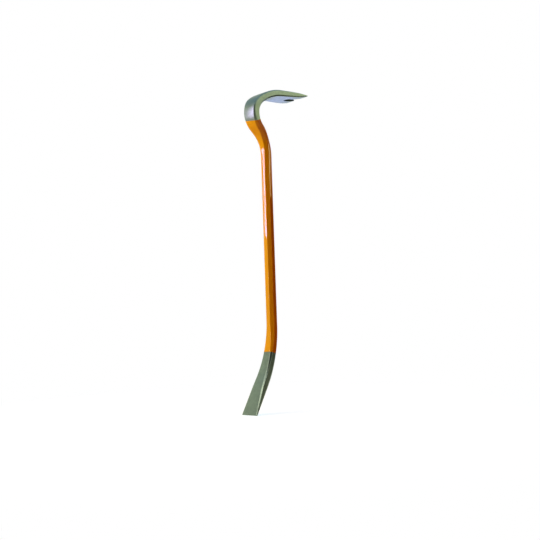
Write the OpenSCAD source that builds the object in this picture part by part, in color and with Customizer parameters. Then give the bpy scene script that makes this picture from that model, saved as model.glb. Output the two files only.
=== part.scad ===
// Gooseneck wrecking bar, drop forged from octagonal steel stock.
// The bar stands in the XZ plane. Its shank runs along Z, the nail claw points to +X,
// the chisel bends to -X, and widths run along Y. The origin is the middle of the shank.

/* [Stock] */
// Width of the bare octagonal stock across its flats
stock_af = 18.7; // [16:0.1:22]
// Length of the straight octagonal shank
shank_len = 313; // [250:1:400]
// Radius left on every long edge by the forging dies
edge_r = 1.2; // [0.4:0.1:1.6]

/* [Gooseneck] */
// Radius of the bend that leans the neck back
neck_r = 62; // [50:1:90]
// How far the neck leans back, in degrees
neck_turn = 49.5; // [35:0.5:60]
// Width of the neck, half way up that bend
neck_w = 21; // [19:0.5:24]
// Thickness of the neck, half way up that bend
neck_t = 16.7; // [14:0.1:18]
// Length of the straight stretch between that bend and the hook
neck_straight = 5; // [1:0.5:12]
// Radius of the hook
hook_r = 32.5; // [28:0.5:45]
// How far the hook turns, in degrees
hook_turn = 100.5; // [85:0.5:110]
// Width of the hook, across its back
hook_w = 27.5; // [24:0.5:32]
// Thickness of the hook
hook_t = 15.6; // [12:0.1:17]

/* [Claw] */
// Radius of the easy curve from the hook into the claw
claw_r = 112; // [90:1:150]
// How far that curve turns, in degrees
claw_turn = 30; // [20:1:35]
// Length of the straight end of the claw
claw_len = 74; // [65:1:95]
// Width of the claw at its edge
claw_w = 53.5; // [44:0.5:56]
// Thickness of the claw where its final taper starts
claw_t = 10.5; // [8:0.5:12]
// Length of the final taper to the edge
claw_taper = 46; // [35:1:55]
// Thickness left at the edges of claw and chisel
edge_t = 2; // [1.5:0.1:3]

/* [Nail slot] */
// Length of the slot, from the claw's edge to its round end
slot_len = 41; // [28:1:42]
// Width of the slot on the underside, at its round end
slot_w = 13.6; // [10:0.2:15]
// Width of the slot at its mouth
slot_mouth_w = 15.4; // [12:0.2:18]
// How much narrower the slot is on the top side of its round end
slot_bevel = 5; // [0:0.5:6]

/* [Chisel] */
// Radius of the bend above the chisel
chisel_r = 180; // [140:1:220]
// How far the chisel bends, in degrees
chisel_turn = 33.5; // [25:0.5:38]
// Length of the straight chisel blade
chisel_len = 67; // [55:1:80]
// Width of the chisel at its edge
chisel_w = 35; // [30:0.5:40]
// Width where the blade starts
chisel_root_w = 23.5; // [20:0.5:26]

/* [Lacquer] */
// Thickness of the lacquer coat
coat = 0.15; // [0.1:0.05:0.3]
// Length of neck above the shank that the coat covers
coat_up = 72; // [60:1:85]
// Length of bend below the shank that the coat covers
coat_down = 52; // [40:1:70]

/* [Hidden] */

// Chamfer leg of a regular octagon
oct_leg = stock_af / (2 + sqrt(2));
half_shank = shank_len / 2;

// A run is [radius, turn in degrees] for an arc, or [length, 0] for a straight
upper_runs = [[neck_r, neck_turn], [neck_straight, 0], [hook_r, -hook_turn],
              [claw_r, -claw_turn], [claw_len, 0]];
lower_runs = [[chisel_r, -chisel_turn], [chisel_len, 0]];

// Distances along the upper run at which something changes
neck_mid = run_len(upper_runs[0]) / 2;
neck_end = run_len(upper_runs[0]) + neck_straight;
hook_mid = neck_end + run_len(upper_runs[2]) / 2;
hook_end = neck_end + run_len(upper_runs[2]);
claw_end = hook_end + run_len(upper_runs[3]) + claw_len;
taper_start = claw_end - claw_taper;
// The tines part from the blade near the front of the slot's round end, where its sides run straight
round_end_in_blade = 5.5;
tine_start = claw_end - slot_len + round_end_in_blade;
// Distances along the lower run
blade_start = run_len(lower_runs[0]);
chisel_end = blade_start + chisel_len;

// Stations along the claw end, as [distance, value]: width, then thickness
upper_w = [[0, stock_af], [neck_mid, neck_w], [neck_end, hook_w], [hook_mid, hook_w],
           [hook_end, hook_w + 3.4], [taper_start, claw_w - 7.5], [claw_end, claw_w]];
upper_t = [[0, stock_af], [neck_mid, neck_t], [neck_end, hook_t], [hook_mid, hook_t],
           [hook_end, hook_t * 0.88], [taper_start, claw_t], [claw_end - claw_taper / 2, claw_t * 0.79],
           [claw_end - claw_taper * 0.22, claw_t * 0.48], [claw_end, edge_t]];
// The chamfers shrink as the octagon is drawn out flat: their depth, then their width
upper_deep = [[0, oct_leg], [neck_mid, 5.2], [neck_end, 4.1], [hook_mid, 2.1], [hook_end, 2.3],
              [taper_start, 1.7], [claw_end - claw_taper / 4, 1.1], [claw_end, 0.4]];
upper_wide = [[0, oct_leg], [neck_mid, 5.5], [neck_end, 5], [hook_mid, 2.2], [hook_end, 1.5],
              [taper_start, 1.6], [claw_end, 0.6]];

// Stations along the chisel end. Its hollow side and its rounded side have their own chamfers.
lower_w = [[0, stock_af], [coat_down, 20.9], [blade_start, chisel_root_w], [chisel_end, chisel_w]];
lower_t = [[0, stock_af], [coat_down, 17.2], [blade_start, 15.4], [chisel_end, edge_t]];
hollow_leg = [[0, oct_leg], [coat_down, 3.5], [blade_start, 1.7], [chisel_end, 0.5]];
round_deep = [[0, oct_leg], [coat_down, 5], [blade_start, 3.8], [chisel_end, 0.5]];
round_wide = [[0, oct_leg], [coat_down, 4.2], [blade_start, 2.6], [chisel_end, 0.6]];

function run_len(run) = run[1] == 0 ? run[0] : run[0] * abs(run[1]) * PI / 180;

// A pose is [x, z, heading]. This moves it along one run by the distance d.
function along(pose, run, d) =
    run[1] == 0
    ? [pose[0] + d * cos(pose[2]), pose[1] + d * sin(pose[2]), pose[2]]
    : let (r = run[0] * sign(run[1]), h = pose[2] + d / r * 180 / PI)
      [pose[0] + r * (sin(h) - sin(pose[2])), pose[1] - r * (cos(h) - cos(pose[2])), h];

// The pose at the distance s along a list of runs
function pose_at(runs, s, pose, i = 0) =
    i == len(runs) - 1 || s <= run_len(runs[i])
    ? along(pose, runs[i], s)
    : pose_at(runs, s - run_len(runs[i]), along(pose, runs[i], run_len(runs[i])), i + 1);

// Smooth curve through a table of [distance, value], with no overshoot between like values
function slope(table, i) =
    i == 0 || i == len(table) - 1
    ? let (a = i == 0 ? 0 : i - 1) (table[a + 1][1] - table[a][1]) / (table[a + 1][0] - table[a][0])
    : let (before = (table[i][1] - table[i - 1][1]) / (table[i][0] - table[i - 1][0]),
           after = (table[i + 1][1] - table[i][1]) / (table[i + 1][0] - table[i][0]))
      before * after <= 0 ? 0 : 2 * before * after / (before + after);
function span(table, s, i = 0) = i == len(table) - 2 || s <= table[i + 1][0] ? i : span(table, s, i + 1);
function value_at(table, s) =
    let (i = span(table, s), gap = table[i + 1][0] - table[i][0], f = (s - table[i][0]) / gap)
    table[i][1] * (1 + 2 * f) * (1 - f) * (1 - f) + table[i + 1][1] * f * f * (3 - 2 * f)
    + gap * (slope(table, i) * f * (1 - f) * (1 - f) - slope(table, i + 1) * f * f * (1 - f));

// Corners of a section: u runs from the hook's inside to its back, v runs along Y
function corners(w, t, back, inner) = [
    [t / 2, back[1] - w / 2], [t / 2 - back[0], -w / 2],
    [inner[0] - t / 2, -w / 2], [-t / 2, inner[1] - w / 2],
    [-t / 2, w / 2 - inner[1]], [inner[0] - t / 2, w / 2],
    [t / 2 - back[0], w / 2], [t / 2, w / 2 - back[1]]];

// Three points in place of each corner: a small radius that takes at most a third of each side.
// The radius touches both sides at this distance from a corner that turns 45 degrees.
corner_cut = edge_r * tan(45 / 2);
function softened(c) = [for (i = [0:7])
    let (a = c[(i + 7) % 8], b = c[i], n = c[(i + 1) % 8],
         cut = min(corner_cut, norm(a - b) / 3, norm(n - b) / 3),
         p = b + cut * (a - b) / norm(a - b), q = b + cut * (n - b) / norm(n - b))
    each [p, b / 2 + (p + q) / 4, q]];

// The section at a distance along each end of the bar, grown by the thickness of a coat
leg_grow = 2 - sqrt(2);
function upper_section(s, grow = 0) =
    let (leg = [value_at(upper_deep, s), value_at(upper_wide, s)] + grow * leg_grow * [1, 1])
    softened(corners(value_at(upper_w, s) + 2 * grow, value_at(upper_t, s) + 2 * grow, leg, leg));
function lower_section(s, grow = 0) =
    let (hollow = value_at(hollow_leg, s) + grow * leg_grow,
         rounded = [value_at(round_deep, s), value_at(round_wide, s)] + grow * leg_grow * [1, 1])
    softened(corners(value_at(lower_w, s) + 2 * grow, value_at(lower_t, s) + 2 * grow,
                     [hollow, hollow], rounded));

// A section placed in space, square to the bar
function placed(section, pose) = [for (p = section)
    [pose[0] - p[0] * sin(pose[2]), p[1], pose[1] + p[0] * cos(pose[2])]];
function upper_ring(s, grow = 0) =
    placed(upper_section(s, grow), pose_at(upper_runs, s, [0, half_shank, 90]));
// The lower end is walked downwards, so its heading is turned back to keep u to the back
function lower_ring(s, grow = 0) =
    let (p = pose_at(lower_runs, s, [0, -half_shank, -90]))
    placed(lower_section(s, grow), [p[0], p[1], p[2] + 180]);

function steps(a, b, n) = [for (i = [0:n]) a + (b - a) * i / n];

// Triangles between two neighbouring rings of n points, whose first points are a and b
function band(a, b, n) = [for (i = [0:n - 1]) let (j = (i + 1) % n)
    each [[a + i, b + i, b + j], [a + i, b + j, a + j]]];

// A solid through a list of rings, from the lowest up the bar
module loft(rings) {
    n = len(rings[0]);
    last = (len(rings) - 1) * n;
    polyhedron(
        points = [for (r = rings) each r],
        faces = concat([for (k = [0:len(rings) - 2]) each band(k * n, (k + 1) * n, n)],
                       [[for (i = [0:n - 1]) i]], [[for (i = [n - 1:-1:0]) last + i]]));
}

// A closed shell between inner and outer rings
module sleeve(inner, outer) {
    n = len(inner[0]);
    m = len(inner);
    out = m * n;
    last = (m - 1) * n;
    polyhedron(
        points = [for (r = concat(inner, outer)) each r],
        faces = concat(
            [for (k = [0:m - 2]) for (f = band(k * n, (k + 1) * n, n)) [f[2], f[1], f[0]]],
            [for (k = [0:m - 2]) each band(out + k * n, out + (k + 1) * n, n)],
            band(0, out, n),
            [for (f = band(last, out + last, n)) [f[2], f[1], f[0]]]));
}

// Rings of the parts, always listed from the lower end to the upper
neck_rings = steps(0, coat_up, 16);
lower_neck_rings = steps(coat_down, 0, 10);
// Between the blade's start and the coat's end, without the ring at the blade's start
curve_steps = [for (i = [1:8]) blade_start + (coat_down - blade_start) * i / 8];

// Puts a shape into the claw's own frame: x runs along it and is 0 at the edge, z is up through it
module in_claw_frame() {
    tip = pose_at(upper_runs, claw_end, [0, half_shank, 90]);
    translate([tip[0], 0, tip[1]]) rotate([0, -tip[2], 0]) children();
}

// Cutter for the nail slot. It narrows upwards, so that a nail's head catches on the top side.
module slot_cutter() {
    past_edge = 6;
    sliver = 0.01;
    // Its width changes by slot_bevel over the claw's thickness at the round end's centre.
    // The cutter reaches that far above and below mid height, where the round end has this width.
    reach = value_at(upper_t, claw_end - slot_len + slot_w / 2);
    end_w = slot_w - slot_bevel / 2;
    in_claw_frame() hull() {
        translate([slot_w / 2 - slot_len, 0, -reach])
            cylinder(d1 = end_w + slot_bevel, d2 = end_w - slot_bevel, h = 2 * reach, $fn = 32);
        for (side = [-1, 1])
            translate([past_edge / 2, 0, side * reach])
                cube([past_edge, slot_mouth_w - side * slot_bevel, sliver], center = true);
    }
}

// One side of the slotted end, from the slot's round end to the edge
module tine() {
    steps_in_taper = 12;
    color("#9AA49A") difference() {
        loft([for (i = [0:steps_in_taper])
              upper_ring(tine_start + (claw_end - tine_start) * sin(90 * i / steps_in_taper))]);
        slot_cutter();
        in_claw_frame() translate([-2 * slot_len, -claw_w, -claw_w])
            cube([4 * slot_len, claw_w, 2 * claw_w]);
    }
}
module left_tine() { tine(); }
module right_tine() { mirror([0, 1, 0]) tine(); }

// The flared plate between the hook and the tines, with the back of the slot's round end
module claw_blade() {
    color("#9AA49A") difference() {
        loft([for (s = concat(steps(hook_end, taper_start, 14), steps(taper_start, tine_start, 2)[1],
                              tine_start)) upper_ring(s)]);
        slot_cutter();
    }
}

// The tight bend between lacquer and claw, ground bare
module gooseneck_hook() {
    color("#9AA49A") loft([for (s = steps(coat_up, hook_end, 14)) upper_ring(s)]);
}

// The stretch in which the octagon is drawn out flat and leans back
module upper_neck() {
    color("#8E9488") loft([for (s = neck_rings) upper_ring(s)]);
}

// The straight octagonal bar that is held in the hand
module octagonal_shank() {
    color("#8E9488") translate([0, 0, -half_shank]) linear_extrude(shank_len)
        polygon([for (p = upper_section(0)) [-p[0], p[1]]]);
}

// The start of the bend above the chisel
module lower_neck() {
    color("#8E9488") loft([for (s = lower_neck_rings) lower_ring(s)]);
}

// The flared chisel, ground bare
module chisel_blade() {
    color("#7F8A76")
        loft([for (s = concat(steps(chisel_end, blade_start, 12), curve_steps)) lower_ring(s)]);
}

// Orange lacquer over the shank and both necks
module lacquer_coat() {
    color("#DE8A10") sleeve(
        concat([for (s = lower_neck_rings) lower_ring(s)], [for (s = neck_rings) upper_ring(s)]),
        concat([for (s = lower_neck_rings) lower_ring(s, coat)],
               [for (s = neck_rings) upper_ring(s, coat)]));
}

left_tine();
right_tine();
claw_blade();
gooseneck_hook();
upper_neck();
octagonal_shank();
lower_neck();
chisel_blade();
lacquer_coat();
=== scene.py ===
from math import atan2, copysign, cos, hypot, pi, radians, sin, tan

import bmesh
import bpy
from mathutils import Matrix, Vector


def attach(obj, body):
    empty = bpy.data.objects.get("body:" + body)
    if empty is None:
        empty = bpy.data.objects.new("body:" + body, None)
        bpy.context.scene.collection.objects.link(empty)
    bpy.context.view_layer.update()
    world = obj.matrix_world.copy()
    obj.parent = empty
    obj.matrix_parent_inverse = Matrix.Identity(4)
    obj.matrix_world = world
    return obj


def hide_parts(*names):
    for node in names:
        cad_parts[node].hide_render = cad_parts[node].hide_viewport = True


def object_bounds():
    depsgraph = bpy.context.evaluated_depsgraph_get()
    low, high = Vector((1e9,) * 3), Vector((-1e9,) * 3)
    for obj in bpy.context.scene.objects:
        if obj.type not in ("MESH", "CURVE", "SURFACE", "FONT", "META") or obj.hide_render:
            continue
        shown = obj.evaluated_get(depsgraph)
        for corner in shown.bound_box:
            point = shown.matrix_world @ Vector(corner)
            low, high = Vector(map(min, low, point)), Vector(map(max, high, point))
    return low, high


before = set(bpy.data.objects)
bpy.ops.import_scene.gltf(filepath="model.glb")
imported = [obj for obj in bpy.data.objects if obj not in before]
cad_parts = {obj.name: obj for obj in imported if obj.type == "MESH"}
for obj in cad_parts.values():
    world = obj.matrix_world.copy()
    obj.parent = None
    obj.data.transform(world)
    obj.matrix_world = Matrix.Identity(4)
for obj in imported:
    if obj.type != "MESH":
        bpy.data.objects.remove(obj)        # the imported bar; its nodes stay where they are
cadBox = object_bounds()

mm = 0.001

# The bar is made straight, standing on its chisel edge, and then bent along its own middle line.
# In the straight bar x runs across it, y towards the hook's back and z up from the chisel's edge.

barLine = {                          # mm and degrees, from the chisel's edge up to the claw's edge
    "chisel": (67, 0),               # a straight is (length, 0)
    "chiselBend": (180, 33.5),       # a bend is (radius, turn)
    "shank": (313, 0),
    "neckBend": (62, 49.5),
    "neck": (5, 0),
    "hookBend": (32.5, -100.5),
    "clawBend": (112, -30),
    "claw": (74, 0),
}

stock = {                            # mm
    "acrossFlats": 18.7,             # bare octagon
    "edgeRadius": 1.2,               # left on every long edge by the dies
    "edgeSegments": 3,
    "bareCover": 0.03,               # the bare pieces stand out this far, so that no forged steel shows
    "ringEvery": 2.2,                # spacing of the cross sections
    "pointEvery": 0.5,               # spacing of the middle line's points
    "near": 0.01,                    # a point this near to a line counts as on it
}

lacquerSizes = {                     # mm
    "thickness": 0.15,
    "up": 72,                        # how far it runs past the shank, at its top and bottom
    "down": 52,
    "topLineSlope": (0.13, 0.1),     # the paint lines are masked by eye, a little askew in x and y
    "footLineSlope": (-0.03, 0),
    "overlap": 5,                    # how far the bare pieces run on under it
    "shankRings": 40,                # spacing of its cross sections along the straight shank
}


def runLength(run):
    size, turn = run
    return size * radians(abs(turn)) if turn else size


shankFoot = runLength(barLine["chisel"]) + runLength(barLine["chiselBend"])
shankHead = shankFoot + barLine["shank"][0]
barEnd = sum(runLength(run) for run in barLine.values())
neckLength = runLength(barLine["neckBend"]) + barLine["neck"][0]
hookLength = runLength(barLine["hookBend"])
lacquerTop = shankHead + lacquerSizes["up"]
lacquerFoot = shankFoot - lacquerSizes["down"]
octagonLeg = stock["acrossFlats"] / (2 + 2 ** 0.5)       # each side of a corner cut off the square bar
cornerCut = stock["edgeRadius"] * tan(radians(22.5))     # what an edge's rounding takes from each face

clawSizes = {                        # mm
    "neckWidth": 21,                 # half way round the neck's bend
    "neckThickness": 16.7,
    "hookWidth": 27.5,
    "hookThickness": 15.6,
    "rootWidth": 30.9,               # where the hook's bend ends
    "rootThickness": 13.728,
    "bladeWidth": 46,                # where the last taper starts
    "bladeThickness": 10.5,
    "taper": 46,                     # length of that taper
    # It is rounded, thicker than a straight wedge: at these shares of its length from the edge, it has
    # these shares of the blade's thickness
    "taperShares": ((0.5, 0.79), (0.22, 0.48)),
    "edgeWidth": 53.5,
    "edgeThickness": 2,
    "edgeRounding": 0.35,
    "backCrown": 0.45,               # how far the ground back of the hook is rounded up in its middle
    "rootCrown": 0.27,
    "crownStart": 12,                # how far below the paint line it begins
    "slotLength": 41,
    "slotWidth": 13.6,               # on the underside, at its round end
    "slotMouth": 15.4,
    "slotNarrows": 5,                # from the underside to the top side
    "slotSegments": 48,
    "slotOvershoot": 5,              # how far its cutter runs past the claw's edge
    "groundMouth": 0.5,              # how far into the slot the edge's grinding reaches
}


def clawStations():
    # Tables of (distance past the shank, value) up the claw end, as a smith would gauge them
    size = clawSizes
    neckMid = runLength(barLine["neckBend"]) / 2
    hookMid = neckLength + hookLength / 2
    hookEnd = neckLength + hookLength
    edge = barEnd - shankHead
    taper = edge - size["taper"]
    lastTaper = [(edge - size["taper"] * left, size["bladeThickness"] * share)
                 for left, share in size["taperShares"]]
    chamferDepth = [(0, octagonLeg), (neckMid, 5.2), (neckLength, 4.1), (hookMid, 2.1), (hookEnd, 2.3),
                    (taper, 1.7), (edge - size["taper"] / 4, 1.1), (edge, 0.4)]
    chamferWidth = [(0, octagonLeg), (neckMid, 5.5), (neckLength, 5), (hookMid, 2.2), (hookEnd, 1.5),
                    (taper, 1.6), (edge, 0.6)]
    return {
        "width": [(0, stock["acrossFlats"]), (neckMid, size["neckWidth"]), (neckLength, size["hookWidth"]),
                  (hookMid, size["hookWidth"]), (hookEnd, size["rootWidth"]), (taper, size["bladeWidth"]),
                  (edge, size["edgeWidth"])],
        "thickness": [(0, stock["acrossFlats"]), (neckMid, size["neckThickness"]),
                      (neckLength, size["hookThickness"]), (hookMid, size["hookThickness"]),
                      (hookEnd, size["rootThickness"]), (taper, size["bladeThickness"]),
                      *lastTaper, (edge, size["edgeThickness"])],
        "backDepth": chamferDepth,
        "backWidth": chamferWidth,
        "innerDepth": chamferDepth,
        "innerWidth": chamferWidth,
        "crown": [(0, 0), (lacquerSizes["up"] - size["crownStart"], 0), (hookMid, size["backCrown"]),
                  (hookEnd, size["rootCrown"]), (taper, 0), (edge, 0)],
    }


chiselSizes = {                      # mm
    "lineWidth": 20.9,               # at the paint line
    "lineThickness": 17.2,
    "rootWidth": 23.5,               # where the chisel's bend ends
    "rootThickness": 15.4,
    "edgeWidth": 35,
    "edgeThickness": 2,
    "edgeRounding": 0.35,
    "backCrown": 0.2,
}


def chiselStations():
    # The same down the chisel end. Its hollow side, at the hook's back, has chamfers of its own.
    size = chiselSizes
    line = lacquerSizes["down"]
    root = runLength(barLine["chiselBend"])
    return {
        "width": [(0, stock["acrossFlats"]), (line, size["lineWidth"]), (root, size["rootWidth"]),
                  (shankFoot, size["edgeWidth"])],
        "thickness": [(0, stock["acrossFlats"]), (line, size["lineThickness"]),
                      (root, size["rootThickness"]), (shankFoot, size["edgeThickness"])],
        "backDepth": [(0, octagonLeg), (line, 3.5), (root, 1.7), (shankFoot, 0.7)],
        "backWidth": [(0, octagonLeg), (line, 3.5), (root, 2.6), (shankFoot, 1.8)],
        "innerDepth": [(0, octagonLeg), (line, 5), (root, 3.8), (shankFoot, 0.5)],
        "innerWidth": [(0, octagonLeg), (line, 4.2), (root, 2.6), (shankFoot, 0.6)],
        "crown": [(0, 0), (line, 0), (root, size["backCrown"]), (shankFoot, 0)],
    }


def slopeAt(table, i):
    # Slope of the smooth curve at one station: none at a turning point, so it never overshoots
    steps = [(b[1] - a[1]) / (b[0] - a[0]) for a, b in zip(table, table[1:])]
    if i == 0 or i == len(table) - 1:
        return steps[0 if i == 0 else -1]
    before, after = steps[i - 1], steps[i]
    return 2 * before * after / (before + after) if before * after > 0 else 0


def valueAt(table, distance):
    # The table's value at this distance, on the smooth curve through its stations
    i = 0
    while i < len(table) - 2 and distance > table[i + 1][0]:
        i += 1
    (start, startValue), (end, endValue) = table[i], table[i + 1]
    gap = end - start
    part = (distance - start) / gap
    rest = 1 - part
    fromValues = startValue * (1 + 2 * part) * rest ** 2 + endValue * part * part * (3 - 2 * part)
    fromSlopes = slopeAt(table, i) * part * rest ** 2 - slopeAt(table, i + 1) * part * part * rest
    return fromValues + gap * fromSlopes


clawTables = clawStations()
chiselTables = chiselStations()


def sectionAt(height, grow=0.0):
    # The groups of points round the bar at this height: (x, y, corner cut), with no cut for a lone point
    upper = height >= (shankFoot + shankHead) / 2
    tables = clawTables if upper else chiselTables
    past = max(0, height - shankHead if upper else shankFoot - height)
    half = valueAt(tables["width"], past) / 2 + grow
    deep = valueAt(tables["thickness"], past) / 2 + grow
    legGrowth = grow * (2 - 2 ** 0.5)        # so that the chamfers move out as far as the faces
    backDepth = valueAt(tables["backDepth"], past) + legGrowth
    backWidth = valueAt(tables["backWidth"], past) + legGrowth
    innerDepth = valueAt(tables["innerDepth"], past) + legGrowth
    innerWidth = valueAt(tables["innerWidth"], past) + legGrowth
    # A rounded corner takes at most a third of each narrow face beside it
    backThird = hypot(backDepth, backWidth) / 3
    innerThird = hypot(innerDepth, innerWidth) / 3
    sideThird = (2 * deep - backDepth - innerDepth) / 3
    sideBack = min(cornerCut, backThird, sideThird)
    sideInner = min(cornerCut, innerThird, sideThird)
    back = min(cornerCut, backThird)
    inner = min(cornerCut, innerThird)
    flat = half - backWidth
    crown = valueAt(tables["crown"], past)
    shoulder = deep + crown * 0.75           # half way out, where the crown has lost a quarter
    return [(-half, innerDepth - deep, sideInner), (innerWidth - half, -deep, inner),
            (half - innerWidth, -deep, inner), (half, innerDepth - deep, sideInner),
            (half, deep - backDepth, sideBack), (flat, deep, back),
            (flat / 2, shoulder, 0), (0, deep + crown, 0), (-flat / 2, shoulder, 0),
            (-flat, deep, back), (-half, deep - backDepth, sideBack)]


def editMesh():
    return bmesh.from_edit_mesh(bpy.context.object.data)


def selectNumbers(numbers):
    # In edit mode, selects only the points with these numbers
    bpy.ops.mesh.select_all(action="DESELECT")
    edit = editMesh()
    edit.verts.ensure_lookup_table()
    for number in numbers:
        edit.verts[number].select = True
    edit.select_flush(True)
    bmesh.update_edit_mesh(bpy.context.object.data)


def selectWhere(wanted):
    # In edit mode, selects only the points whose place the test wants
    edit = editMesh()
    edit.verts.index_update()
    selectNumbers([point.index for point in edit.verts if wanted(point.co)])


leastMove = 1e-5                     # mm; corners that move less stay where they are
leastResize = 1e-3                   # corners whose size changes by a smaller share keep it


def slideRing(height, old, new):
    # Slides the selected ring's corners from one section to the next, and keeps the ring selected
    edit = editMesh()
    edit.verts.index_update()
    ring = sorted((point for point in edit.verts if point.select),
                  key=lambda point: atan2(point.co.y, point.co.x))
    numbers = [point.index for point in ring]
    places = [point.co.copy() / mm for point in ring]
    first = 0
    for (oldX, oldY, oldCut), (newX, newY, newCut) in zip(old, new):
        count = stock["edgeSegments"] + 1 if oldCut else 1
        if not oldCut:
            oldX, oldY = places[first][:2]
        group = numbers[first:first + count]
        first += count
        if abs(newX - oldX) + abs(newY - oldY) < leastMove:
            continue
        selectNumbers(group)
        if oldCut and abs(newCut / oldCut - 1) > leastResize:
            bpy.ops.transform.resize(value=(newCut / oldCut, newCut / oldCut, 1),
                                     center_override=(oldX * mm, oldY * mm, height * mm))
        bpy.ops.transform.translate(value=((newX - oldX) * mm, (newY - oldY) * mm, 0))
    selectNumbers(numbers)


roundingTurns = (35, 65, 90)         # degrees round an edge's rounding, at each of its rings


def growBar(name, heights, grow=0.0, rounding=0.0):
    # A piece of straight bar: an octagon with rounded corners, extruded ring by ring.
    # With a rounding, the edges of its last face are rounded to that radius.
    bpy.ops.object.select_all(action="DESELECT")
    across = stock["acrossFlats"] * mm
    bpy.ops.mesh.primitive_circle_add(vertices=8, radius=across / 2 / cos(pi / 8), fill_type="NGON",
                                      location=(0, 0, heights[0] * mm), rotation=(0, 0, pi / 8))
    piece = bpy.context.object
    piece.name = piece.data.name = name
    bpy.ops.object.transform_apply(location=True, rotation=True, scale=True)
    bpy.ops.object.mode_set(mode="EDIT")
    bpy.ops.mesh.select_all(action="SELECT")
    bpy.ops.mesh.bevel(offset=cornerCut * mm, segments=stock["edgeSegments"], affect="VERTICES")
    selectWhere(lambda place: place.y > across / 2 - stock["near"] * mm)
    bpy.ops.mesh.subdivide(number_cuts=3)    # three more points across the back, for its crown
    bpy.ops.mesh.select_all(action="SELECT")
    half = stock["acrossFlats"] / 2
    short = half - octagonLeg
    corners = [(-half, -short), (-short, -half), (short, -half), (half, -short), (half, short), (short, half)]
    old = [(x, y, cornerCut) for x, y in corners] + [(0, half, 0)] * 3
    old += [(-short, half, cornerCut), (-half, short, cornerCut)]
    new = sectionAt(heights[0], grow)
    slideRing(heights[0], old, new)
    rings = [(height, grow) for height in heights[1:]]
    if rounding:
        end = heights[-1]
        way = copysign(1, end - heights[0])
        rings[-1] = (end - way * rounding, grow)
        for turn in roundingTurns:
            drawnIn = rounding * (1 - cos(radians(turn)))
            rings.append((end - way * rounding * (1 - sin(radians(turn))), grow - drawnIn))
    below = heights[0]
    for height, ringGrow in rings:
        bpy.ops.mesh.extrude_region_move(TRANSFORM_OT_translate={"value": (0, 0, (height - below) * mm)})
        old, new = new, sectionAt(height, ringGrow)
        slideRing(height, old, new)
        below = height
    bpy.ops.mesh.select_all(action="SELECT")
    bpy.ops.mesh.normals_make_consistent(inside=False)
    bpy.ops.object.mode_set(mode="OBJECT")
    return piece


def applyModifier(piece, kind, **settings):
    bpy.ops.object.select_all(action="DESELECT")
    piece.select_set(True)
    bpy.context.view_layer.objects.active = piece
    modifier = piece.modifiers.new(kind.title(), kind)
    for key, value in settings.items():
        setattr(modifier, key, value)
    bpy.ops.object.modifier_apply(modifier=modifier.name)


def heightsBetween(low, high, gap=stock["ringEvery"]):
    count = max(1, round(abs(high - low) / gap))
    return [low + (high - low) * i / count for i in range(count + 1)]


def drawMiddleLine():
    # The bar's middle line in the frame: the shank stands on the z axis, with the origin half way up it
    x = z = 0.0
    heading = radians(90 - barLine["chiselBend"][1])
    points = [(x, z)]
    for name, (size, turn) in barLine.items():
        if name == "shank":
            footX, footZ = x, z
        count = max(1, round(runLength((size, turn)) / stock["pointEvery"]))
        for _ in range(count):
            if turn:
                radius = copysign(size, turn)
                newHeading = heading + radians(turn) / count
                x += radius * (sin(newHeading) - sin(heading))
                z -= radius * (cos(newHeading) - cos(heading))
                heading = newHeading
            else:
                x += size / count * cos(heading)
                z += size / count * sin(heading)
            points.append((x, z))
    curve = bpy.data.curves.new("middleLine", "CURVE")
    curve.dimensions = "3D"
    curve.twist_mode = "MINIMUM"
    curve.use_deform_bounds = False          # so that heights in the straight bar are lengths along the line
    spline = curve.splines.new("POLY")
    spline.points.add(len(points) - 1)
    for point, (x, z) in zip(spline.points, points):
        point.co = ((x - footX) * mm, 0, (z - footZ - barLine["shank"][0] / 2) * mm, 1)
    line = bpy.data.objects.new("middleLine", curve)
    bpy.context.scene.collection.objects.link(line)
    return line


smoothUnder = 38                     # degrees; facets that turn by less are shaded as one curve
facetWeight = 80                     # over 50, large facets steer that shading more than small ones


def bendAndSmooth(piece, line):
    # Keeps each point's place in the straight bar, in mm, so that the grinding marks follow the bends
    place = piece.data.attributes.new("straightMm", "FLOAT_VECTOR", "POINT")
    for point, value in zip(piece.data.vertices, place.data):
        value.vector = point.co / mm
    applyModifier(piece, "CURVE", object=line, deform_axis="POS_Z")
    bpy.ops.object.shade_smooth_by_angle(angle=radians(smoothUnder))
    applyModifier(piece, "WEIGHTED_NORMAL", keep_sharp=True, weight=facetWeight)


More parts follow.
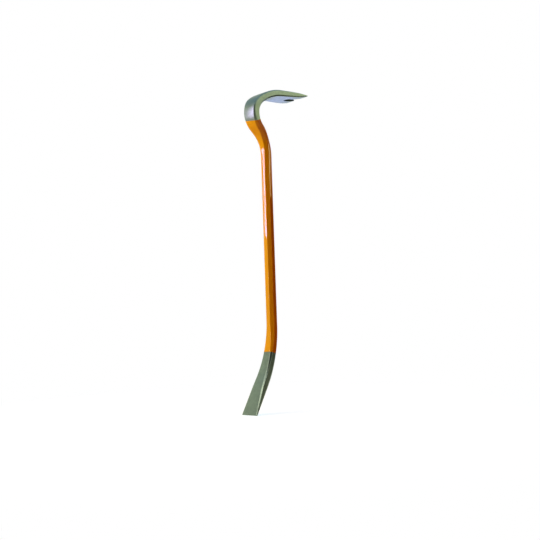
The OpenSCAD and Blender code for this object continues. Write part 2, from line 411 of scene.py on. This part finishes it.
def cutSlot(piece):
    # The nail slot: half a cone at its round end, drawn out to the mouth and past the claw's edge
    size = clawSizes
    centre = barEnd - size["slotLength"] + size["slotWidth"] / 2
    thickness = valueAt(clawTables["thickness"], centre - shankHead)
    narrows = size["slotNarrows"]
    midWidth = size["slotWidth"] - narrows / 2
    mouthHeight = (barEnd - stock["near"]) * mm
    bpy.ops.object.select_all(action="DESELECT")
    bpy.ops.mesh.primitive_cylinder_add(vertices=size["slotSegments"], radius=midWidth / 2 * mm,
                                        depth=2 * thickness * mm, location=(0, 0, centre * mm),
                                        rotation=(pi / 2, 0, 0))
    cutter = bpy.context.object
    bpy.ops.object.transform_apply(location=True, rotation=True, scale=True)
    bpy.ops.object.mode_set(mode="EDIT")
    for side in (-1, 1):                     # wider on the underside, narrower on the top side
        selectWhere(lambda place: place.y * side > 0)
        wider = (midWidth - side * narrows) / midWidth
        bpy.ops.transform.resize(value=(wider, 1, wider), center_override=(0, 0, centre * mm))
    bpy.ops.mesh.select_all(action="SELECT")
    bpy.ops.mesh.bisect(plane_co=(0, 0, centre * mm), plane_no=(0, 0, 1), use_fill=True, clear_outer=True)
    selectWhere(lambda place: place.z > (centre - stock["near"]) * mm)
    bpy.ops.mesh.extrude_region_move(TRANSFORM_OT_translate={"value": (0, 0, (barEnd - centre) * mm)})
    for side in (-1, 1):
        selectWhere(lambda place: place.z > mouthHeight and place.y * side > 0)
        wider = (size["slotMouth"] - side * narrows) / (midWidth - side * narrows)
        bpy.ops.transform.resize(value=(wider, 1, 1), center_override=(0, 0, barEnd * mm))
    selectWhere(lambda place: place.z > mouthHeight)
    bpy.ops.mesh.extrude_region_move(TRANSFORM_OT_translate={"value": (0, 0, size["slotOvershoot"] * mm)})
    bpy.ops.mesh.select_all(action="SELECT")
    bpy.ops.mesh.normals_make_consistent(inside=False)
    bpy.ops.object.mode_set(mode="OBJECT")
    applyModifier(piece, "BOOLEAN", object=cutter, operation="DIFFERENCE", solver="EXACT")
    bpy.data.objects.remove(cutter)
    # The slot keeps its black forge scale, so its walls take the piece's second material, whose dark teal is
    # partly painted shade for the shadow deep in the slot
    for face in piece.data.polygons:
        aboveStart = face.center.z > (centre - size["slotWidth"]) * mm
        belowMouth = face.center.z < (barEnd - size["groundMouth"]) * mm
        inSlot = aboveStart and belowMouth and abs(face.center.x) < size["slotMouth"] * mm
        isWall = abs(face.normal.y) < 0.5    # the claw's flats face along y
        face.material_index = 1 if inSlot and isWall else 0


middleLine = drawMiddleLine()

# The bare end: hook, claw and slot
hookAndClaw = growBar("hookAndClaw", heightsBetween(lacquerTop - lacquerSizes["overlap"], barEnd),
                      grow=stock["bareCover"], rounding=clawSizes["edgeRounding"])
cutSlot(hookAndClaw)
bendAndSmooth(hookAndClaw, middleLine)
print("hook and claw made")

# The bare chisel, drawn out downwards
chisel = growBar("chisel", heightsBetween(lacquerFoot + lacquerSizes["overlap"], 0),
                 grow=stock["bareCover"], rounding=chiselSizes["edgeRounding"])
bendAndSmooth(chisel, middleLine)
print("chisel made")

# The lacquer: the outside of the coat, made a little too long, cut off along its paint lines and
# given its thickness inwards
coatHeights = heightsBetween(lacquerFoot - lacquerSizes["overlap"], shankFoot)
coatHeights += heightsBetween(shankFoot, shankHead, lacquerSizes["shankRings"])[1:]
coatHeights += heightsBetween(shankHead, lacquerTop + lacquerSizes["overlap"])[1:]
lacquer = growBar("lacquer", coatHeights, grow=lacquerSizes["thickness"])
bpy.ops.object.mode_set(mode="EDIT")
for height, way, (slopeX, slopeY) in ((lacquerFoot, -1, lacquerSizes["footLineSlope"]),
                                      (lacquerTop, 1, lacquerSizes["topLineSlope"])):
    bpy.ops.mesh.select_all(action="SELECT")
    bpy.ops.mesh.bisect(plane_co=(0, 0, height * mm), plane_no=(-slopeX * way, -slopeY * way, way),
                        clear_outer=True)
bpy.ops.object.mode_set(mode="OBJECT")
applyModifier(lacquer, "SOLIDIFY", thickness=lacquerSizes["thickness"] * mm, offset=-1,
              use_even_offset=True)
bendAndSmooth(lacquer, middleLine)
bpy.data.objects.remove(middleLine)
print("lacquer made")

dressed = (
    (hookAndClaw, "ground_steel", ("left_tine", "right_tine", "claw_blade", "gooseneck_hook")),
    (chisel, "ground_steel", ("chisel_blade",)),
    (lacquer, "orange_lacquer", ("lacquer_coat",)),
)
for piece, slot, nodes in dressed:
    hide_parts(*nodes)
    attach(piece, "root")


# Materials

def linear(hexColour):
    # sRGB hex to the linear values that a shader takes
    values = [int(hexColour[i:i + 2], 16) / 255 for i in (1, 3, 5)]
    return [v / 12.92 if v <= 0.04045 else ((v + 0.055) / 1.055) ** 2.4 for v in values] + [1]


def newMaterial(name):
    material = bpy.data.materials.new(name)
    material.use_nodes = True
    material.node_tree.nodes.clear()
    return material, material.node_tree


def addNode(tree, kind, inputs, **settings):
    node = tree.nodes.new(kind)
    for key, value in settings.items():
        setattr(node, key, value)
    for key, value in inputs.items():
        if isinstance(value, bpy.types.NodeSocket):
            tree.links.new(value, node.inputs[key])
        else:
            node.inputs[key].default_value = value
    return node


groundLook = {                       # lengths in mm
    "colour": "#C2C9B0",             # bare carbon steel, faintly green beside chrome
    "shadeColour": "#B2B9A2",        # where the belt burnished it less
    "roughness": (0.27, 0.33),
    "markGap": 0.9,                  # between grinding marks; a 120 grit belt leaves 0.1, too fine to show
    "markLength": 26,
    "markDepth": 0.004,
    "mottle": 7,                     # size of its lighter and darker patches
    "mottleSpan": (0.3, 0.7),        # the mottle's values that come out as the two colours
    "bothSpan": (0.7, 1.3),          # the sums of marks and mottle that come out as the two roughnesses
}


def groundSteel():
    # Forged carbon steel, ground on a belt to an even satin: soft reflections with fine lengthwise marks
    look = groundLook
    material, tree = newMaterial("beltGroundSteel")
    place = addNode(tree, "ShaderNodeAttribute", {}, attribute_name="straightMm").outputs["Vector"]
    markScale = (1 / look["markGap"], 1 / look["markGap"], 1 / look["markLength"])
    drawn = addNode(tree, "ShaderNodeMapping", {"Vector": place, "Scale": markScale}).outputs[0]
    marks = addNode(tree, "ShaderNodeTexNoise", {"Vector": drawn, "Scale": 1, "Detail": 2}).outputs[0]
    mottleScale = (1 / look["mottle"],) * 3
    spread = addNode(tree, "ShaderNodeMapping", {"Vector": place, "Scale": mottleScale}).outputs[0]
    mottle = addNode(tree, "ShaderNodeTexNoise", {"Vector": spread, "Scale": 1, "Detail": 3,
                                                  "Roughness": 0.6}).outputs[0]
    low, high = look["mottleSpan"]
    level = addNode(tree, "ShaderNodeMapRange", {"Value": mottle, "From Min": low,
                                                 "From Max": high}).outputs[0]
    colour = addNode(tree, "ShaderNodeMix", {"Factor": level, "A": linear(look["shadeColour"]),
                                             "B": linear(look["colour"])}, data_type="RGBA")
    both = addNode(tree, "ShaderNodeMath", {0: marks, 1: mottle}, operation="ADD").outputs[0]
    low, high = look["bothSpan"]
    smooth, rough = look["roughness"]
    roughness = addNode(tree, "ShaderNodeMapRange", {"Value": both, "From Min": low, "From Max": high,
                                                     "To Min": rough, "To Max": smooth}).outputs[0]
    bump = addNode(tree, "ShaderNodeBump", {"Height": marks, "Strength": 1.0,
                                            "Distance": look["markDepth"] * mm}).outputs[0]
    steel = addNode(tree, "ShaderNodeBsdfPrincipled", {
        "Base Color": colour.outputs["Result"], "Metallic": 1.0, "Roughness": roughness, "Normal": bump})
    addNode(tree, "ShaderNodeOutputMaterial", {"Surface": steel.outputs[0]})
    return material


lacquerLook = {                      # lengths in mm
    "colour": "#F4AA0A",
    "deepColour": "#EEA206",         # where the coat lies a little thicker
    "cloud": (18, 18, 45),           # size of those places, longer along the bar
    "underRoughness": 0.4,
    "gloss": 0.45,
    "glossRoughness": 0.035,
    "peel": 2.6,                     # between the waves that spraying leaves
    "peelDepth": 0.0007,
}


def orangeLacquer():
    # Sprayed and baked orange lacquer: opaque colour under a hard clear gloss, with a faint orange peel
    look = lacquerLook
    material, tree = newMaterial("orangeBakedLacquer")
    place = addNode(tree, "ShaderNodeAttribute", {}, attribute_name="straightMm").outputs["Vector"]
    peelScale = (1 / look["peel"],) * 3
    spread = addNode(tree, "ShaderNodeMapping", {"Vector": place, "Scale": peelScale}).outputs[0]
    peel = addNode(tree, "ShaderNodeTexNoise", {"Vector": spread, "Scale": 1, "Detail": 1}).outputs[0]
    cloudScale = [1 / size for size in look["cloud"]]
    broad = addNode(tree, "ShaderNodeMapping", {"Vector": place, "Scale": cloudScale}).outputs[0]
    cloud = addNode(tree, "ShaderNodeTexNoise", {"Vector": broad, "Scale": 1, "Detail": 2}).outputs[0]
    colour = addNode(tree, "ShaderNodeMix", {"Factor": cloud, "A": linear(look["deepColour"]),
                                             "B": linear(look["colour"])}, data_type="RGBA")
    bump = addNode(tree, "ShaderNodeBump", {"Height": peel, "Distance": look["peelDepth"] * mm}).outputs[0]
    coat = addNode(tree, "ShaderNodeBsdfPrincipled", {
        "Base Color": colour.outputs["Result"], "Roughness": look["underRoughness"],
        "Specular IOR Level": 0.0, "Coat Weight": look["gloss"],
        "Coat Roughness": look["glossRoughness"], "Coat Normal": bump})
    addNode(tree, "ShaderNodeOutputMaterial", {"Surface": coat.outputs[0]})
    return material


forgedLook = {                       # lengths in mm
    "colour": "#6C6E6C",
    "deepColour": "#4A4E50",
    "roughness": 0.6,
    "spot": 4,
    "spotDepth": 0.05,
}


def forgedSteel():
    # Steel as it left the dies, blue-grey scale under the lacquer; only a cut through the bar shows it
    look = forgedLook
    material, tree = newMaterial("forgedScaleSteel")
    place = addNode(tree, "ShaderNodeTexCoord", {}).outputs["Object"]
    spots = addNode(tree, "ShaderNodeTexNoise", {"Vector": place, "Scale": 1 / (look["spot"] * mm),
                                                 "Detail": 4}).outputs[0]
    colour = addNode(tree, "ShaderNodeMix", {"Factor": spots, "A": linear(look["deepColour"]),
                                             "B": linear(look["colour"])}, data_type="RGBA")
    bump = addNode(tree, "ShaderNodeBump", {"Height": spots, "Distance": look["spotDepth"] * mm}).outputs[0]
    steel = addNode(tree, "ShaderNodeBsdfPrincipled", {
        "Base Color": colour.outputs["Result"], "Metallic": 1.0, "Roughness": look["roughness"],
        "Normal": bump})
    addNode(tree, "ShaderNodeOutputMaterial", {"Surface": steel.outputs[0]})
    return material


scaleAndShadeLook = {                        # lengths in mm
    # both dark teal colours are partly painted shade, for the shadow inside the slot
    "colour": "#2A4644",
    "deepColour": "#142A2A",
    "roughness": 0.65,
    "spot": 2.5,
    "spotDepth": 0.05,
}


def slotScaleAndShade():
    # The black oxide that forging leaves, dull and uneven, in the slot that no belt reaches. Its dark teal
    # colours are partly painted shade, standing in for the shadow deep in the slot.
    look = scaleAndShadeLook
    material, tree = newMaterial("forgeScaleAndPaintedShade")
    place = addNode(tree, "ShaderNodeAttribute", {}, attribute_name="straightMm").outputs["Vector"]
    spotScale = (1 / look["spot"],) * 3
    spread = addNode(tree, "ShaderNodeMapping", {"Vector": place, "Scale": spotScale}).outputs[0]
    spots = addNode(tree, "ShaderNodeTexNoise", {"Vector": spread, "Scale": 1, "Detail": 4}).outputs[0]
    colour = addNode(tree, "ShaderNodeMix", {"Factor": spots, "A": linear(look["deepColour"]),
                                             "B": linear(look["colour"])}, data_type="RGBA")
    bump = addNode(tree, "ShaderNodeBump", {"Height": spots, "Distance": look["spotDepth"] * mm}).outputs[0]
    scale = addNode(tree, "ShaderNodeBsdfPrincipled", {
        "Base Color": colour.outputs["Result"], "Roughness": look["roughness"], "Normal": bump})
    addNode(tree, "ShaderNodeOutputMaterial", {"Surface": scale.outputs[0]})
    return material


groundFinish = groundSteel()
lacquerFinish = orangeLacquer()
forgedFinish = forgedSteel()
for piece, finishes in ((hookAndClaw, (groundFinish, slotScaleAndShade())), (chisel, (groundFinish,)),
                        (lacquer, (lacquerFinish,))):
    for finish in finishes:
        piece.data.materials.append(finish)
nodeFinishes = {"upper_neck": forgedFinish, "octagonal_shank": forgedFinish, "lower_neck": forgedFinish,
                "lacquer_coat": lacquerFinish}
for name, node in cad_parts.items():
    node.data.materials.clear()
    node.data.materials.append(nodeFinishes.get(name, groundFinish))
print("materials made")


# Studio. Directions are compass angles round the bar, as the camera's is: 0 looks along +y.

def direction(azimuth, elevation):
    around, up = radians(azimuth), radians(elevation)
    return Vector((sin(around) * cos(up), -cos(around) * cos(up), sin(up)))


def facing(place, target):
    # A turn that points an object's front, its -z side, from its place to the target
    return (target - place).to_track_quat("-Z", "Y").to_matrix().to_4x4()


def lightOnly(light, pieces):
    # Only these pieces are lit by it, and only in them does its glow show as a reflection
    lit = bpy.data.collections.new(light.name + "Lights")
    for piece in pieces:
        lit.objects.link(piece)
    light.light_linking.receiver_collection = lit


def standCard(name, where, base, kind, inputs):
    # A plain card that stands facing the bar, with its low and high edges measured from the base
    middle = Vector((0, 0, base + (where["low"] + where["high"]) / 2))
    place = direction(where["azimuth"], 0) * where["far"] + middle
    bpy.ops.object.select_all(action="DESELECT")
    bpy.ops.mesh.primitive_plane_add(size=1)
    card = bpy.context.object
    card.name = name
    bpy.ops.object.mode_set(mode="EDIT")
    bpy.ops.mesh.select_all(action="SELECT")
    bpy.ops.transform.resize(value=(where["width"], where["high"] - where["low"], 1))
    if "corner" in where:                    # rounded, by this share of the width
        bpy.ops.mesh.bevel(offset=where["width"] * where["corner"], segments=8, affect="VERTICES")
    bpy.ops.object.mode_set(mode="OBJECT")
    card.matrix_world = Matrix.Translation(place) @ facing(place, middle)
    material, tree = newMaterial(name + "Finish")
    front = addNode(tree, kind, inputs).outputs[0]
    addNode(tree, "ShaderNodeOutputMaterial", {"Surface": front})
    card.data.materials.append(material)
    card.visible_camera = False
    return card


# Glowing screens for the reflections: where each stands, how far off, how low and how high it reaches
# and how wide it is, in m, and how bright. Each lights only some of the pieces, as if the rest were
# flagged off from it.
screens = {
    "leftStrip": {"azimuth": -129.03, "far": 1.0, "low": 0.15, "high": 0.52, "width": 0.043,
                  "corner": 0.45, "tint": "#E8C0FF", "level": 44, "lights": (lacquer,)},
    "leftPanel": {"azimuth": -111.7, "far": 1.5, "low": -0.03, "high": 1.36, "width": 0.83,
                  "tint": "#D0C4FF", "level": 3.6, "lights": (lacquer, hookAndClaw)},
    "edgeStrip": {"azimuth": -92, "far": 1.5, "low": -0.7, "high": 0.6, "width": 0.16,
                  "tint": "#FFF0E0", "level": 14, "lights": (lacquer,)},
    "rightStrip": {"azimuth": 48.75, "far": 0.9, "low": 0.27, "high": 0.44, "width": 0.01,
                   "tint": "#FFEC98", "level": 20, "lights": (lacquer,)},
    "rightPanel": {"azimuth": 53, "far": 2.1, "low": 0.53, "high": 1.3, "width": 0.8,
                   "tint": "#FFB458", "level": 2.6, "lights": (lacquer,)},
    "chiselStrip": {"azimuth": -86, "far": 0.9, "low": 0.1, "high": 1.1, "width": 0.75,
                    "tint": "#F0F6F0", "level": 1.7, "lights": (chisel,)},
}

for name, screen in screens.items():
    card = standCard(name, screen, 0, "ShaderNodeEmission",
                     {"Color": linear(screen["tint"]), "Strength": screen["level"]})
    card.visible_diffuse = card.visible_shadow = False
    lightOnly(card, screen["lights"])

# Dark flags that stand on the floor, in front and low on the right, and keep those facets dark.
# The front one glows faintly for the hook and claw, and the other pieces see it black.
floorHeight = cadBox[0].z
frontFlag = {"azimuth": -40, "far": 0.95, "low": 0, "high": 1.3, "width": 1.25, "tint": "#5A665A"}
rightFlag = {"azimuth": 50, "far": 1.0, "low": 0, "high": 0.646, "width": 0.9, "tint": "#080808"}
card = standCard("frontFlag", frontFlag, floorHeight, "ShaderNodeEmission",
                 {"Color": linear(frontFlag["tint"]), "Strength": 1})
lightOnly(card, (hookAndClaw,))
standCard("rightFlag", rightFlag, floorHeight, "ShaderNodeBsdfDiffuse", {"Color": linear(rightFlag["tint"])})

# Area lamps, with distances and sizes in m. A level is how bright a lamp looks, with 1 as white paper
# in full light. A mirrored one shows in glossy surfaces alone, and the others light only matt colour.
lamps = {
    "keyLamp": {"azimuth": -125, "elevation": 11, "far": 2.2, "raised": 0, "aim": 0, "width": 1.6,
                "height": 1.4, "tint": "#EEFFEE", "level": 6.5, "mirrored": False},
    "backLamp": {"azimuth": 112, "elevation": 20, "far": 2.2, "raised": 0, "aim": 0, "width": 1.6,
                 "height": 1.4, "tint": "#FFF6EA", "level": 3.6, "mirrored": False, "lights": (lacquer,)},
    "rightSoftbox": {"azimuth": 66, "elevation": 34, "far": 1.7, "raised": 0.1, "aim": 0.15, "width": 1.5,
                     "height": 1.15, "tint": "#EEFFD0", "level": 0.58, "mirrored": True},
}

for name, lamp in lamps.items():
    place = direction(lamp["azimuth"], lamp["elevation"]) * lamp["far"] + Vector((0, 0, lamp["raised"]))
    bpy.ops.object.light_add(type="AREA")
    light = bpy.context.object
    light.name = name
    light.data.shape = "RECTANGLE"
    light.data.size = lamp["width"]
    light.data.size_y = lamp["height"]
    light.data.energy = lamp["level"] * pi * lamp["width"] * lamp["height"]
    light.data.color = linear(lamp["tint"])[:3]
    light.matrix_world = Matrix.Translation(place) @ facing(place, Vector((0, 0, lamp["aim"])))
    light.visible_camera = False
    light.visible_glossy = lamp["mirrored"]
    light.visible_diffuse = not lamp["mirrored"]
    if "lights" in lamp:
        lightOnly(light, lamp["lights"])

skyLook = {
    # How far up from the horizon, as a sine, with the tint and the level there
    "stops": ((0.1, "#DCEADC", 0.75), (0.62, "#DCEEE4", 0.55), (0.85, "#98C4EC", 0.52)),
    "fillTint": "#FF9050",
    "fillLevel": 0.38,
}


def makeWorld():
    # White to the camera and a warm fill to matt surfaces. Glossy ones see a pale horizon that
    # darkens overhead.
    look = skyLook
    world = bpy.data.worlds.new("studioWorld")
    bpy.context.scene.world = world
    world.use_nodes = True
    tree = world.node_tree
    tree.nodes.clear()
    way = addNode(tree, "ShaderNodeTexCoord", {}).outputs["Generated"]
    up = addNode(tree, "ShaderNodeSeparateXYZ", {"Vector": way}).outputs["Z"]
    ramp = addNode(tree, "ShaderNodeValToRGB", {"Fac": up})
    stops = ramp.color_ramp.elements
    while len(stops) < len(look["stops"]):
        stops.new(0.5)                       # placed below
    for stop, (rise, tint, level) in zip(stops, look["stops"]):
        stop.position = rise
        stop.color = [value * level for value in linear(tint)[:3]] + [1]
    room = addNode(tree, "ShaderNodeBackground", {"Color": ramp.outputs["Color"]}).outputs[0]
    fill = addNode(tree, "ShaderNodeBackground", {"Color": linear(look["fillTint"]),
                                                  "Strength": look["fillLevel"]}).outputs[0]
    white = addNode(tree, "ShaderNodeBackground", {"Color": (1, 1, 1, 1), "Strength": 1}).outputs[0]
    rays = addNode(tree, "ShaderNodeLightPath", {})
    camera, diffuse = rays.outputs["Is Camera Ray"], rays.outputs["Is Diffuse Ray"]
    lit = addNode(tree, "ShaderNodeMixShader", {0: diffuse, 1: room, 2: fill}).outputs[0]
    mixed = addNode(tree, "ShaderNodeMixShader", {0: camera, 1: lit, 2: white}).outputs[0]
    addNode(tree, "ShaderNodeOutputWorld", {"Surface": mixed})


paperLook = {                        # lengths in m
    "radius": 14,
    "sides": 96,
    "below": 0.0001,                 # how far under the bar's lowest point it lies
    "colour": "#E0BE9C",             # what the paper throws back on the bar
    "liftTint": "#DCF6FF",           # added for the camera only, so that paper in full light is white
    "lift": 0.96,
    "whiteSpan": (0.22, 0.75),       # from here to here it fades out into the white backdrop
    "nearTint": "#A0A898",           # how it looks in reflections, near the bar
    "farTint": "#A8B2FF",            # and far off on one side, where it is brighter too
    "farLevel": 2.5,
    "farAzimuth": 130,
    "farSpan": (1.8, 4.3),           # from here to here, on that side, the one passes into the other
}


def makeFloor():
    # White paper: it takes the bar's shadow near the bar and runs into the white backdrop further off
    look = paperLook
    bpy.ops.object.select_all(action="DESELECT")
    bpy.ops.mesh.primitive_circle_add(vertices=look["sides"], radius=look["radius"], fill_type="NGON",
                                      location=(0, 0, floorHeight - look["below"]))
    floor = bpy.context.object
    floor.name = "paperFloor"
    bpy.ops.object.transform_apply(location=True, rotation=True, scale=True)
    material, tree = newMaterial("whitePaper")
    place = addNode(tree, "ShaderNodeTexCoord", {}).outputs["Object"]
    flat = addNode(tree, "ShaderNodeMapping", {"Vector": place, "Scale": (1, 1, 0)}).outputs[0]
    out = addNode(tree, "ShaderNodeVectorMath", {0: flat}, operation="LENGTH").outputs["Value"]
    rays = addNode(tree, "ShaderNodeLightPath", {})
    camera, glossy = rays.outputs["Is Camera Ray"], rays.outputs["Is Glossy Ray"]
    paper = addNode(tree, "ShaderNodeBsdfDiffuse", {"Color": linear(look["colour"])}).outputs[0]
    lift = addNode(tree, "ShaderNodeMath", {0: camera, 1: look["lift"]}, operation="MULTIPLY").outputs[0]
    glow = addNode(tree, "ShaderNodeEmission", {"Color": linear(look["liftTint"]),
                                                "Strength": lift}).outputs[0]
    lifted = addNode(tree, "ShaderNodeAddShader", {0: paper, 1: glow}).outputs[0]
    start, end = look["whiteSpan"]
    fade = addNode(tree, "ShaderNodeMapRange", {"Value": out, "From Min": start, "From Max": end},
                   interpolation_type="SMOOTHERSTEP").outputs[0]
    seen = addNode(tree, "ShaderNodeMath", {0: camera, 1: fade}, operation="MULTIPLY").outputs[0]
    white = addNode(tree, "ShaderNodeEmission", {"Color": (1, 1, 1, 1), "Strength": 1}).outputs[0]
    plain = addNode(tree, "ShaderNodeMixShader", {0: seen, 1: lifted, 2: white}).outputs[0]
    beyond = addNode(tree, "ShaderNodeVectorMath", {0: place, 1: direction(look["farAzimuth"], 0)},
                     operation="DOT_PRODUCT").outputs["Value"]
    start, end = look["farSpan"]
    farFade = addNode(tree, "ShaderNodeMapRange", {"Value": beyond, "From Min": start, "From Max": end},
                      interpolation_type="SMOOTHERSTEP").outputs[0]
    tint = addNode(tree, "ShaderNodeMix", {"Factor": farFade, "A": linear(look["nearTint"]),
                                           "B": linear(look["farTint"])}, data_type="RGBA").outputs["Result"]
    level = addNode(tree, "ShaderNodeMapRange", {"Value": farFade, "To Min": 1,
                                                 "To Max": look["farLevel"]}).outputs[0]
    mirrored = addNode(tree, "ShaderNodeEmission", {"Color": tint, "Strength": level}).outputs[0]
    mixed = addNode(tree, "ShaderNodeMixShader", {0: glossy, 1: plain, 2: mirrored}).outputs[0]
    addNode(tree, "ShaderNodeOutputMaterial", {"Surface": mixed})
    floor.data.materials.append(material)


makeWorld()
makeFloor()

cameraFit = {                        # where the photograph was taken from, fitted to the bar's outline
    "azimuth": -49.718,
    "distance": 1.21688,             # m from the shank's axis
    "height": -0.1814,               # m above the origin
    "pitch": 5.838,                  # degrees up
    "roll": -1.912,
    "lens": 44.494,                  # mm
    "sensor": 36,
    "nearest": 0.01,                 # m; nothing nearer is drawn
}


def makeCamera():
    fit = cameraFit
    azimuth, pitch, roll = (radians(fit[key]) for key in ("azimuth", "pitch", "roll"))
    ahead = Vector((-sin(azimuth) * cos(pitch), cos(azimuth) * cos(pitch), sin(pitch)))
    level = Vector((cos(azimuth), sin(azimuth), 0))
    upright = level.cross(ahead)
    right = cos(roll) * level + sin(roll) * upright
    up = cos(roll) * upright - sin(roll) * level
    data = bpy.data.cameras.new("photoCamera")
    data.sensor_width = fit["sensor"]
    data.lens = fit["lens"]
    data.clip_start = fit["nearest"]
    camera = bpy.data.objects.new("photoCamera", data)
    bpy.context.scene.collection.objects.link(camera)
    turn = Matrix((right, up, -ahead)).transposed().to_4x4()
    place = Vector((sin(azimuth) * fit["distance"], -cos(azimuth) * fit["distance"], fit["height"]))
    camera.matrix_world = Matrix.Translation(place) @ turn
    bpy.context.scene.camera = camera


makeCamera()
bpy.context.scene.view_settings.view_transform = "Standard"
print("studio made")
